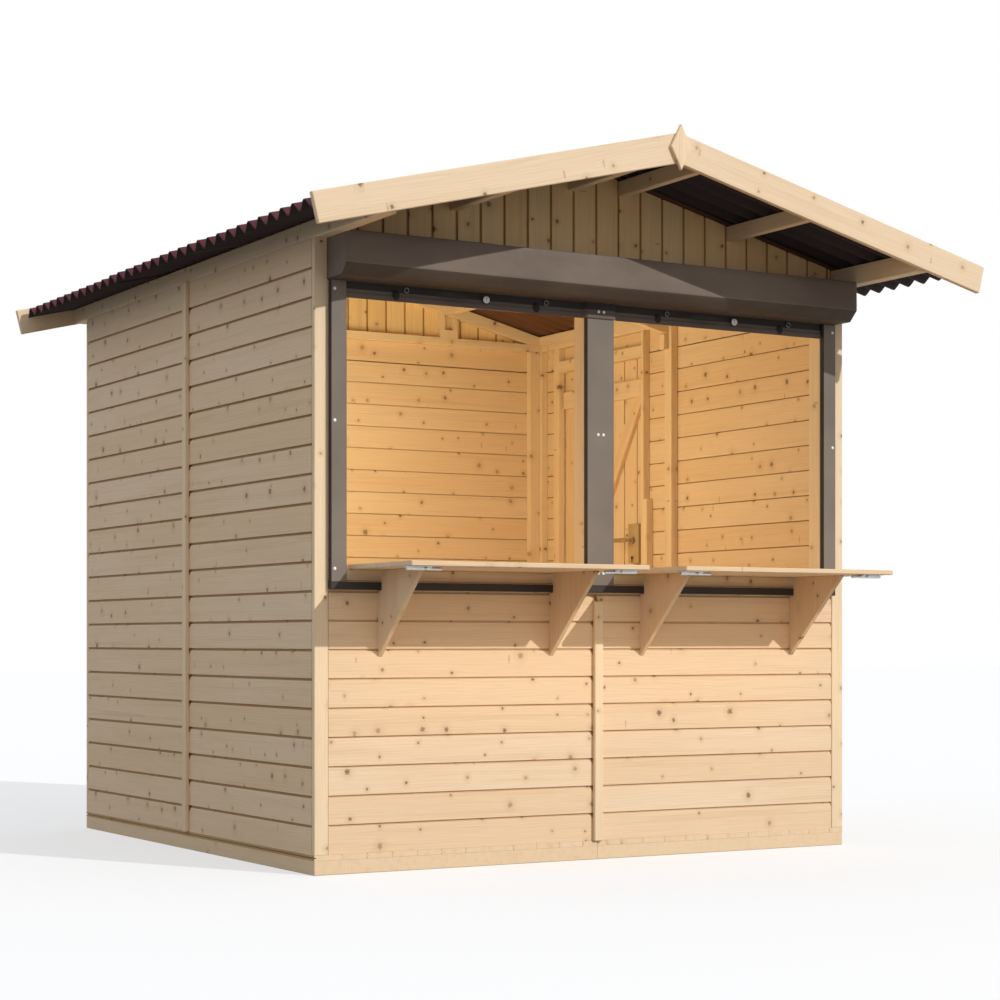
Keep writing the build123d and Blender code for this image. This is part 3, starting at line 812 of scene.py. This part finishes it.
hood = dict(fold=0.035, round=0.0045, cell=0.022, sag=0.0018, skin=0.001, wider=0.005, depth=0.13)
# light is the height of the lower lip that keeps the plain hem cloth; above it the hem is painted in shade
band = dict(cells=(360, 20), fold=0.003, hem=0.016, light=0.026, skin=0.0012, clear=0.002, wide=0.066,
            slope=0.015, ease=0.015, turn=0.003, tuck=0.012,
            pleats=((-0.598, -0.468, 1.761), (0.352, 0.482, 1.761)), pleat=0.005)
eyelet = dict(places=(-0.699, -0.199, 0.265, 0.763), drop=0.0125, radius=0.0074, wire=0.0009, slot=0.0010)
# the black tabs beside the eyelets are painted shade of the fold pulled there
foldShade = dict(width=0.022, thickness=0.004, height=0.030, aside=-0.035, drop=0.030)


def flatArea(piece):
    return sum(face.calc_area() for face in piece.faces)


def clothPiece(piece, name, finishes, skin, stands):
    mesh = bpy.data.meshes.new(name)
    piece.to_mesh(mesh)
    piece.free()
    for finish in finishes:
        mesh.materials.append(finish)
    mesh.shade_smooth()
    cloth = bpy.data.objects.new(name, mesh)
    scene.collection.objects.link(cloth)
    solid = cloth.modifiers.new("skin", "SOLIDIFY")
    solid.thickness = skin
    solid.offset = -1
    if stands:
        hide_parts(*stands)
    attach(cloth, "hut")
    return cloth


def makeHood(finish, undersideShadeFinish):
    low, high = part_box("curtain_hood")
    low = low - alongX * hood["wider"]
    high = high + alongX * hood["wider"]
    piece = bmesh.new()
    bmesh.ops.create_cube(piece, size=1)
    bmesh.ops.scale(piece, vec=high - low, verts=piece.verts)
    bmesh.ops.translate(piece, vec=(low + high) / 2, verts=piece.verts)
    clipPart(piece, (0, low.y, low.z + hood["fold"]), Vector((0, -1, -1)).normalized())
    back = [face for face in piece.faces if face.normal.y > 0.9]
    bmesh.ops.delete(piece, geom=back, context="FACES_ONLY")
    bends = [edge for edge in piece.edges if edge.is_manifold]
    softenEdges(piece, bends, hood["round"], 2)
    for axis, way in ((0, alongX), (2, alongZ)):
        steps = round((high - low)[axis] / hood["cell"])
        for index in range(1, steps):
            spot = Vector(low)
            spot[axis] += (high - low)[axis] * index / steps
            bmesh.ops.bisect_plane(piece, geom=everything(piece), plane_co=spot, plane_no=way)
    for index in range(1, 6):
        bmesh.ops.bisect_plane(piece, geom=everything(piece), plane_co=(0, high.y - hood["depth"] * index / 6, 0),
                               plane_no=alongY)
    bmesh.ops.recalc_face_normals(piece, faces=piece.faces)
    top = [face for face in piece.faces if face.calc_center_median().z > high.z - 0.002]
    if sum(face.normal.z * face.calc_area() for face in top) < 0:
        bmesh.ops.reverse_faces(piece, faces=piece.faces)
    area = flatArea(piece)
    piece.normal_update()
    for vert in piece.verts:
        free = min(1.0, (high.y - vert.co.y) / 0.03)
        long = noise.noise(Vector((vert.co.x * 2.3, vert.co.y * 5, vert.co.z * 9)))
        crease = noise.noise(Vector((vert.co.x * 9 + 7, vert.co.y * 14, vert.co.z * 26)))
        vert.co += vert.normal * free * hood["sag"] * (long * 0.9 + crease * 0.45 - 0.5)
    for face in piece.faces:
        # painted shade: faces turned downwards take a darker copy of the tarpaulin
        face.material_index = 1 if face.normal.z < -0.3 else 0
    cloth = clothPiece(piece, "curtain_hood_cloth", [finish, undersideShadeFinish], hood["skin"], ["curtain_hood"])


def pleatDepth(x, z):
    # shallow lens-shaped folds low in the hem
    depth = 0.0
    for left, right, level in band["pleats"]:
        along = (x - left) / (right - left)
        if 0 < along < 1:
            spread = 0.004 + 0.006 * math.sin(math.pi * along)
            depth += math.sin(math.pi * along) * math.exp(-((z - level) / spread) ** 2)
    return depth


def makeBand(finish, darkFinish):
    low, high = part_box("curtain_band")
    tall = high.z - low.z
    middle = (low.y + high.y) / 2
    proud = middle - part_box("front_frame_strips")[0].y + band["clear"]
    piece = bmesh.new()
    bmesh.ops.create_grid(piece, x_segments=band["cells"][0], y_segments=band["cells"][1], size=1)
    for vert in piece.verts:
        x = low.x + (vert.co.x + 1) / 2 * (high.x - low.x)
        up = (vert.co.y + 1) / 2
        z = low.z + up * (tall + band["tuck"])
        over = min(1, max(0, (band["wide"] - abs(x)) / band["slope"]))
        over = over * over * (3 - 2 * over)
        free = (1 - min(1, up)) ** 0.7 * min(1, (x - low.x) / 0.05, (high.x - x) / 0.05) * (1 - over)
        wave = noise.noise(Vector((x * 5.5, 3.1, z * 6))) + 0.4 * noise.noise(Vector((x * 17, 8.2, z * 20)))
        hem = -0.0022 if z < low.z + band["hem"] else 0.0
        out = wave * band["fold"] * free + hem + band["pleat"] * pleatDepth(x, z) - over * proud
        vert.co = (x, middle + out, z)
    bmesh.ops.recalc_face_normals(piece, faces=piece.faces)
    for face in piece.faces:
        # painted shade: above the lower lip the hem takes a near-black copy of its cloth, for the shadow under the
        # hood
        face.material_index = 0 if face.calc_center_median().z < low.z + band["light"] else 1
    cloth = clothPiece(piece, "curtain_hem", [finish, darkFinish], band["skin"], ["curtain_band"])


def makeRing(radius, wire):
    part = bmesh.new()
    made = bmesh.ops.create_circle(part, segments=8, radius=wire)
    bmesh.ops.rotate(part, cent=(0, 0, 0), matrix=Matrix.Rotation(math.pi / 2, 3, "X"), verts=part.verts)
    bmesh.ops.translate(part, vec=(radius, 0, 0), verts=part.verts)
    bmesh.ops.spin(part, geom=part.verts[:] + part.edges[:], cent=(0, 0, 0), axis=(0, 0, 1),
                   angle=2 * math.pi, steps=24, use_merge=True)
    bmesh.ops.remove_doubles(part, verts=part.verts, dist=1e-6)
    return part


def makeCurtainFittings(ringFinish, darkFinish, buttonFinish):
    low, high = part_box("curtain_band")
    rings, holes, foldShadeTabs, buttons = (startPiece() for index in range(4))
    # painted shade: a black disc fills each eyelet for the shade seen through its hole, and a black tab beside it
    # stands for the shadow of the fold pulled there
    for x in eyelet["places"]:
        spot = Vector((x, low.y - 0.0005, high.z - eyelet["drop"]))
        addPart(rings, makeRing(eyelet["radius"], eyelet["wire"]), aim((0, -1, 0), spot))
        addPart(holes, makeDome(eyelet["radius"] - 0.0003, 0.0012, 16), aim((0, -1, 0), spot))
        hang = Vector((x + foldShade["aside"], low.y, high.z - foldShade["drop"]))
        shadeTab = makeDome(foldShade["width"] / 2, foldShade["thickness"], 20)
        bmesh.ops.scale(shadeTab, vec=(1, foldShade["height"] / foldShade["width"], 1), verts=shadeTab.verts)
        addPart(foldShadeTabs, shadeTab, aim((0, -1, 0), hang))
    for part, start, end in copySolids("curtain_buttons"):
        part.free()
        middle = (start + end) / 2
        radius = (end.x - start.x) / 2
        deep = end.y - start.y
        # painted shade: a black base under the button's two white halves shows as the dark slot between them
        addPart(holes, makeRod(radius * 0.86, deep * 0.55, 0.0012, 28),
                aim((0, -1, 0), Vector((middle.x, end.y - deep * 0.275, middle.z))))
        for side in (-1, 1):
            half = makeRod(radius * 1.04, deep * 0.4, 0.0012, 28)
            addPart(buttons, half, aim((0, -1, 0), Vector((middle.x, end.y - deep * 0.74, middle.z))),
                    clips=[((middle.x + side * eyelet["slot"], 0, 0), (-side, 0, 0))])
    finishPiece(rings, "curtain_eyelets", [ringFinish])
    finishPiece(holes, "curtain_eyelet_holes", [darkFinish])
    finishPiece(foldShadeTabs, "curtain_fold_shade_tabs", [darkFinish])
    finishPiece(buttons, "curtain_turn_buttons", [buttonFinish], "hut", ["curtain_buttons"])
    print("curtain hung")


stripScrews = dict(levels=(1.756, 1.362, 0.918), places=(-0.947, -0.0095, 0.0105, 0.9455), radius=0.0052,
                   height=0.0026, proud=0.0032)


def makeStrips(finish, darkFinish, screwFinish):
    # the sill's own dark paint; on the grey strips the same dark paint is painted shade on their side faces
    dressTimber("front_frame_strips", "front_strip_covers", finish, soften=0.0015,
                sideShadeFinish=darkFinish)
    dressTimber("front_sill_strip", "front_sill_cover", darkFinish, soften=0.0015)
    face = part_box("front_frame_strips")[0].y
    piece = startPiece()
    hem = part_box("curtain_band")[0].z
    for z in stripScrews["levels"]:
        for x in stripScrews["places"]:
            y = face - (stripScrews["proud"] if z > hem and abs(x) < band["wide"] else 0)
            addPart(piece, makeDome(stripScrews["radius"], stripScrews["height"]), aim((0, -1, 0), (x, y, z)))
    finishPiece(piece, "strip_screws", [screwFinish])


barrel = dict(plate=0.083, thin=0.002, rod=0.0046, channel=(0.017, 0.0098), knob=0.0036, knobPlace=0.060,
              knobLength=0.013, screws=(0.010, 0.073), screwAside=0.0135)


def makeCounterBolts(finish, screwFinish):
    piece = startPiece()
    screws = startPiece()
    thin = barrel["thin"]
    wide, deep = barrel["channel"]
    for part, low, high in copySolids("counter_bolts"):
        part.free()
        middle = (low + high) / 2
        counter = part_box("left_counter" if middle.x < 0 else "right_counter")
        inward = 1 if middle.x < (counter[0].x + counter[1].x) / 2 else -1
        outer = low.x if inward > 0 else high.x
        plateMiddle = outer + inward * barrel["plate"] / 2
        addPart(piece, makeBlock((barrel["plate"], high.y - low.y, thin), 0.0006),
                Matrix.Translation((plateMiddle, middle.y, high.z - thin / 2)))
        channel = makeBlock((barrel["plate"] - 0.002, wide, deep), 0.0026, 3)
        addPart(piece, channel, Matrix.Translation((plateMiddle, middle.y, high.z - thin / 2 - deep / 2)))
        rodLevel = low.z + barrel["rod"] + 0.0002
        addPart(piece, makeRod(barrel["rod"], high.x - low.x - 0.002, 0.0012, 20),
                aim((1, 0, 0), (middle.x, middle.y, rodLevel)))
        knobSpot = Vector((outer + inward * barrel["knobPlace"], middle.y - wide / 2 - 0.003, rodLevel + 0.001))
        addPart(piece, makeRod(barrel["knob"], barrel["knobLength"], 0.001, 16), aim((0, -1, -0.25), knobSpot))
        for along in barrel["screws"]:
            for way in (-1, 1):
                spot = (outer + inward * along, middle.y + way * barrel["screwAside"], high.z - thin)
                addPart(screws, makeDome(0.0032, 0.0014, 10), aim((0, 0, -1), spot))
    finishPiece(piece, "barrel_bolts", [finish], "hut", ["counter_bolts"])
    finishPiece(screws, "barrel_bolt_screws", [screwFinish])
    print("bolts fitted")


lever = dict(radius=0.009, rose=0.023, roseThickness=0.006, plate=(0.003, 0.034, 0.150))


def makeDoor(finish, metal, lockFinish, leverFinish, dark):
    low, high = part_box("door_leaf")
    piece = startPiece()
    wide = (high.y - low.y) / boards["doorCount"]
    for index in range(boards["doorCount"]):
        last = index == boards["doorCount"] - 1
        plank = makePlank(high.z - low.z, wide, high.x - low.x, 0.0002 if last else boards["doorGap"],
                          0.0001 if last else boards["tongue"], 0.0014, 0.0014)
        middle = Vector(((low.x + high.x) / 2, low.y + (index + 0.5) * wide, (low.z + high.z) / 2))
        addPart(piece, plank, stand(alongZ, alongY, middle))
    finishPiece(piece, "door_leaf_boards", [finish], "door", ["door_leaf"], boards["flat"])
    dressTimber("door_ledges", "door_ledge_boards", finish, body="door")
    dressTimber("door_braces", "door_brace_boards", finish, body="door")

    lockLow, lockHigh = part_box("door_lock")
    middle = (lockLow + lockHigh) / 2
    piece = startPiece()
    addPart(piece, makeBlock(lockHigh - lockLow, 0.003, 3), Matrix.Translation(middle))
    finishPiece(piece, "door_lock_case", [lockFinish], "door", ["door_lock"])

    spindleLow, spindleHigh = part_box("door_handle")
    y = spindleLow.y + lever["radius"]
    z = (spindleLow.z + spindleHigh.z) / 2
    plates = startPiece()
    keyholes = startPiece()
    thick, across, tall = lever["plate"]
    for face, way in ((lockLow.x - thick, -1), (high.x, 1)):
        if way > 0:
            addPart(plates, makeBlock((thick, across, tall), 0.0012, 2),
                    Matrix.Translation((face + way * thick / 2, y, z - 0.030)))
        addPart(plates, makeRod(lever["rose"] * 0.6, lever["roseThickness"], 0.0015, 28),
                aim((1, 0, 0), (face + way * (thick + lever["roseThickness"] / 2), y, z)))
        # painted shade: a black disc and slot on each plate stand for the dark of the keyhole
        addPart(keyholes, makeRod(0.0055, 0.0012, 0.0003, 18),
                aim((1, 0, 0), (face + way * (thick + 0.0005), y, z - 0.068)))
        addPart(keyholes, makeBlock((0.0012, 0.0045, 0.017), 0.0003),
                Matrix.Translation((face + way * (thick + 0.0005), y, z - 0.078)))
    finishPiece(plates, "door_handle_plates", [leverFinish], "door")
    finishPiece(keyholes, "door_keyholes", [dark], "door")

    piece = startPiece()
    addPart(piece, makeRod(0.0068, spindleHigh.x - spindleLow.x - 0.004, 0.001, 20),
            aim((1, 0, 0), ((spindleLow.x + spindleHigh.x) / 2, y, z)))
    for x in (spindleLow.x + lever["radius"], spindleHigh.x - lever["radius"]):
        length = spindleHigh.y - spindleLow.y
        bar = makeRod(lever["radius"], length, 0.004, 24, topRadius=lever["radius"] * 0.82)
        bmesh.ops.scale(bar, vec=(0.86, 1, 1), verts=bar.verts)
        addPart(piece, bar, aim((0, 1, 0), (x, (spindleLow.y + spindleHigh.y) / 2, z)))
    finishPiece(piece, "door_lever", [leverFinish], "door_handle", ["door_handle"])

    straps = startPiece()
    for part, low, high in copySolids("door_hinge_straps"):
        sharp = [edge for edge in part.edges if edge.is_manifold and edge.calc_face_angle() > 0.6
                 and edge.calc_length() > 0.02]
        softenEdges(part, sharp, 0.0008)
        addPart(straps, part)
        for index in range(4):
            spot = (low.x + 0.003, low.y + 0.018 + index * 0.080, (low.z + high.z) / 2)
            addPart(straps, makeDome(0.0075, 0.0035), aim((1, 0, 0), spot))
    finishPiece(straps, "door_hinge_strap_irons", [metal], "door", ["door_hinge_straps"])
    plates = startPiece()
    for part, low, high in copySolids("door_hinge_plates"):
        addPart(plates, part)
        for offset in (-0.036, 0.0, 0.036):
            spot = (low.x + 0.003, high.y - 0.014, (low.z + high.z) / 2 + offset)
            addPart(plates, makeDome(0.0045, 0.002), aim((1, 0, 0), spot))
    finishPiece(plates, "door_hinge_plate_irons", [metal], "hut", ["door_hinge_plates"])
    print("door hung")


makeCamera()
makeWorld()
makeFloor()

spruce = makeWood("spruceBoards", wood["pale"], wood["warm"])
trimWood = makeWood("spruceTrim", (0.90, 0.715, 0.485), (0.88, 0.675, 0.44))
bargeWood = makeWood("spruceBargeboard", (0.84, 0.655, 0.45), (0.83, 0.63, 0.42))
# painted light: a brighter, more golden copy of the spruce for the gable boards, which sit in shade under the roof's
# overhang
gableWoodPaintedLight = makeWood("spruceGablePaintedLight", (0.97, 0.74, 0.42), (0.95, 0.67, 0.34))
floorWood = makeWood("floorBoards", (0.85, 0.66, 0.44), (0.83, 0.62, 0.40))
tarpaulin = makeTarpaulin("greyTarpaulin", (0.195, 0.150, 0.118))
# painted shade: a darker copy of the grey tarpaulin for the hood's underside and lower fold
hoodUndersideShade = makeTarpaulin("hoodUndersidePaintedShade", (0.090, 0.068, 0.050))
hemCloth = makeTarpaulin("hemTarpaulin", (0.155, 0.120, 0.100))
# painted shade for the hem's upper part under the hood
hemPaintedShadeCloth = makeTarpaulin("hemPaintedShadeTarpaulin", (0.036, 0.032, 0.028))
stripPaint = makePaint("greyStripPaint", (0.205, 0.168, 0.135))
# the sill strip's own dark grey, also used as painted shade on the grey strips' sides
sillAndSideShadePaint = makePaint("sillPaintAndStripSideShade", (0.045, 0.038, 0.035))
roofTop = makeRoofing("wineRoofSheet", (0.165, 0.042, 0.052), (0.28, 0.105, 0.115))
# painted shade and light: one sheet's underside in two copies, near black outside under the eaves, lighter brown over
# the room
roofUnderPaintedShade = makeRoofing("roofUndersidePaintedShade", (0.028, 0.018, 0.017), (0.05, 0.034, 0.03))
roofInsidePaintedLight = makeRoofing("roofInsidePaintedLight", (0.13, 0.062, 0.034), (0.20, 0.10, 0.06))
zinc = makeMetal("galvanised", (0.60, 0.61, 0.60), 0.42)
screwZinc = makeMetal("brightZinc", (0.78, 0.79, 0.80), 0.3)
satinMetal = makeMetal("satinLever", (0.62, 0.56, 0.47), 0.32, (300, 30, 300))
ringMetal = makeMetal("eyeletBrass", (0.30, 0.29, 0.25), 0.35)
# painted shade in eyelet holes, button slots and the folds by the eyelets
paintedShadeBlack = makeTarpaulin("paintedShadeBlack", (0.022, 0.020, 0.018))
whitePlastic = makePlastic("whitePlastic", (0.96, 0.96, 0.94))
# painted shade for the keyholes
keyholeShadeBlack = makePlastic("keyholeShadeBlack", (0.022, 0.021, 0.021), 0.5)
lockPaint = makePaint("lockPaint", (0.50, 0.35, 0.19), 0.4)

bySlot = dict(spruce=spruce, floor_wood=floorWood, grey_strip=stripPaint, curtain=tarpaulin, button=whitePlastic,
              roof_sheet=roofTop, zinc=zinc, lock=lockPaint, handle=satinMetal)
for part in frame["record"]["subparts"]:
    mesh = frame["nodes"][part["node"]].data
    mesh.materials.clear()
    mesh.materials.append(bySlot[part["material_slot"]])

makeWalls(spruce)
makeGables(gableWoodPaintedLight)
makeTimbers(trimWood, floorWood, bargeWood)
makeCounters(spruce)
makeRoofSheets(roofTop, roofUnderPaintedShade, roofInsidePaintedLight, roofTop)
makeMiddleRafters(trimWood)
makeRidgeCap(roofTop)
makeHood(tarpaulin, hoodUndersideShade)
makeBand(hemCloth, hemPaintedShadeCloth)
makeCurtainFittings(ringMetal, paintedShadeBlack, whitePlastic)
makeStrips(stripPaint, sillAndSideShadePaint, whitePlastic)
makeCounterBolts(zinc, screwZinc)
makeDoor(spruce, zinc, lockPaint, satinMetal, keyholeShadeBlack)

scene.view_settings.view_transform = "Standard"
